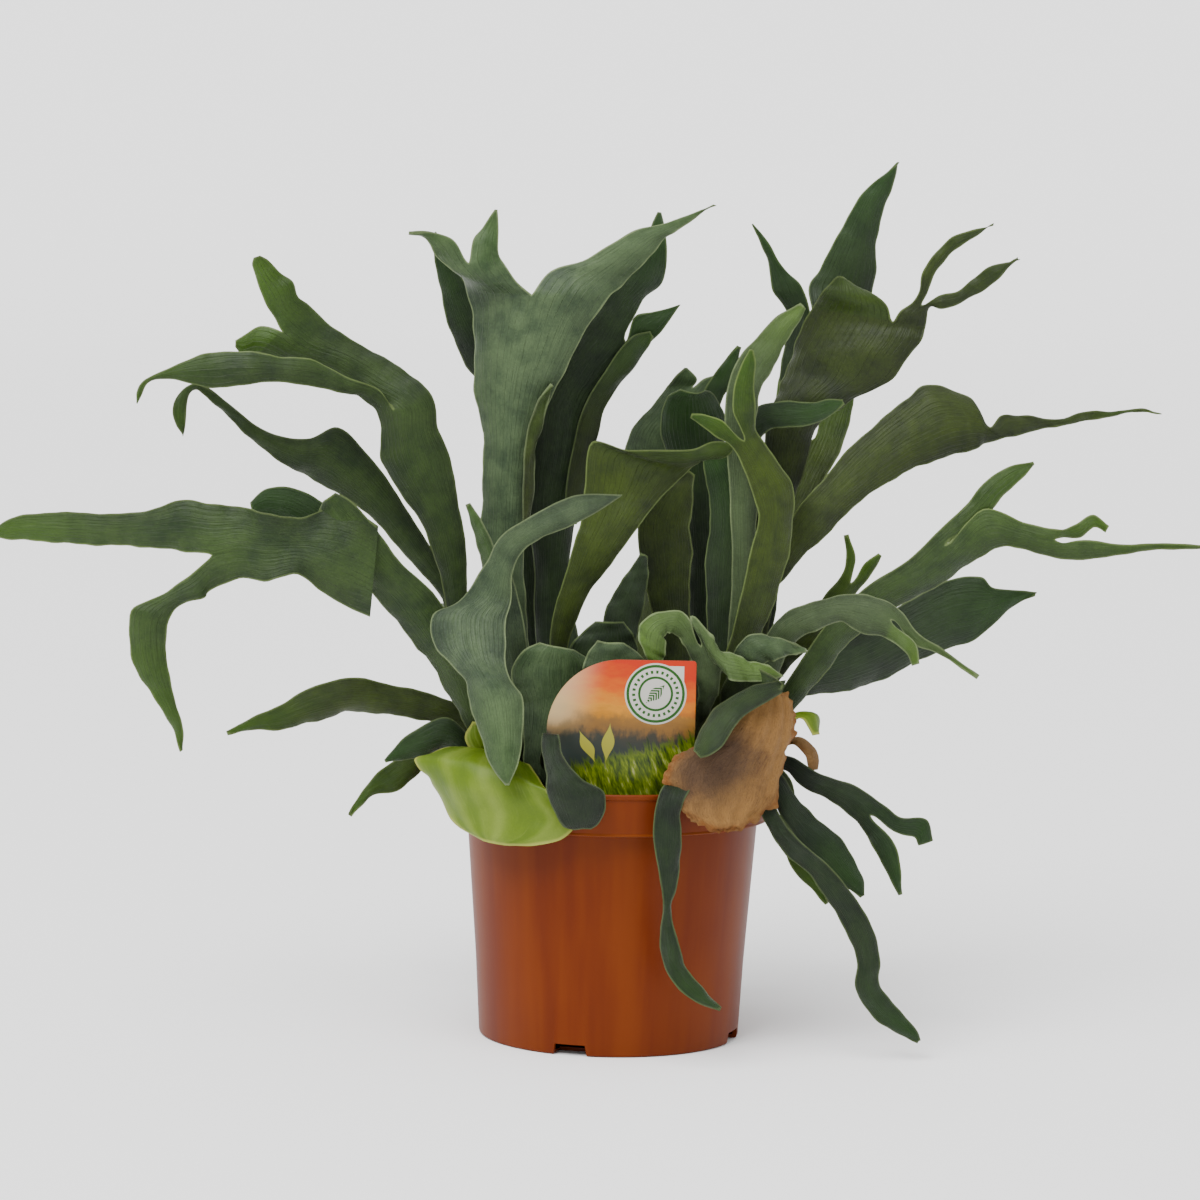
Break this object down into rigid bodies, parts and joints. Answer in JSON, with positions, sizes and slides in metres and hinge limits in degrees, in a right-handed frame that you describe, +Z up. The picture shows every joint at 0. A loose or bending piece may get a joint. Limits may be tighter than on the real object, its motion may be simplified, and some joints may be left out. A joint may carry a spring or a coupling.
{
  "type": "staghorn fern house plant",
  "caption": "Staghorn fern with forked antler-like fronds and rounded shield leaves, growing from crowns in a tapered plastic nursery pot with a blank plant label.",
  "frame": {"origin": "centre of the pot's flat base, on the surface it stands on", "axes": "+Z up, +X to the right across the widest spread of the fronds, -Y towards the front, where the label is"},
  "size_m": [0.6194, 0.2979, 0.4558],
  "materials": {
    "fern_crown": "matted brown rhizome and roots, matte",
    "fern_dark_green": "dark green leathery frond, satin",
    "fern_grey_green": "grey-green leathery frond with a felt-like bloom",
    "fern_light_green": "light green young frond, satin",
    "fern_olive_green": "olive green leathery frond underside, satin",
    "fern_shield_brown": "dry papery brown shield leaf",
    "fern_shield_green": "yellow-green shield leaf with broad ribs",
    "label_card": "printed card label, satin",
    "potting_mix": "dark fibrous peat and bark, matte",
    "terracotta_plastic": "semi-gloss orange-brown moulded plastic"
  },
  "bodies": {
    "root": {"crown_back": "fern_crown", "crown_centre": "fern_crown", "crown_front": "fern_crown", "crown_left": "fern_crown", "crown_middle": "fern_crown", "crown_right": "fern_crown", "frond_back_arching": "fern_olive_green", "frond_back_hanging_right": "fern_olive_green", "frond_back_left_low": "fern_grey_green", "frond_back_left_tall": "fern_grey_green", "frond_back_right_tall": "fern_olive_green", "frond_centre_broad": "fern_grey_green", "frond_centre_dark": "fern_dark_green", "frond_centre_left_dark": "fern_dark_green", "frond_centre_olive": "fern_olive_green", "frond_curly_grey": "fern_grey_green", "frond_curly_over_label": "fern_light_green", "frond_curly_right": "fern_light_green", "frond_front_dark_back": "fern_dark_green", "frond_front_folded": "fern_grey_green", "frond_front_wavy_left": "fern_grey_green", "frond_front_wavy_right": "fern_olive_green", "frond_hanging_front": "fern_dark_green", "frond_hanging_inner": "fern_olive_green", "frond_hanging_long": "fern_dark_green", "frond_hanging_middle": "fern_dark_green", "frond_hanging_upper": "fern_dark_green", "frond_left_behind": "fern_dark_green", "frond_left_high": "fern_olive_green", "frond_left_inner_small": "fern_grey_green", "frond_left_long": "fern_grey_green", "frond_left_low": "fern_olive_green", "frond_left_middle": "fern_dark_green", "frond_left_small_lower": "fern_olive_green", "frond_left_small_upper": "fern_dark_green", "frond_middle_front": "fern_olive_green", "frond_middle_narrow": "fern_dark_green", "frond_middle_pale": "fern_light_green", "frond_middle_right_tip": "fern_dark_green", "frond_middle_round": "fern_dark_green", "frond_middle_slate": "fern_dark_green", "frond_middle_underside": "fern_light_green", "frond_over_rim_round": "fern_dark_green", "frond_right_arching": "fern_olive_green", "frond_right_dark": "fern_dark_green", "frond_right_folded": "fern_olive_green", "frond_right_forked_small": "fern_olive_green", "frond_right_light": "fern_light_green", "frond_right_long": "fern_grey_green", "frond_right_strap": "fern_light_green", "frond_right_tall": "fern_dark_green", "nursery_pot": "terracotta_plastic", "plant_label": "label_card", "potting_mix": "potting_mix", "shield_brown_front": "fern_shield_brown", "shield_brown_side": "fern_shield_brown", "shield_green_back": "fern_shield_green", "shield_green_front": "fern_shield_green", "shield_green_side": "fern_shield_green", "shield_yellow_small": "fern_shield_green"}
  },
  "joints": []
}
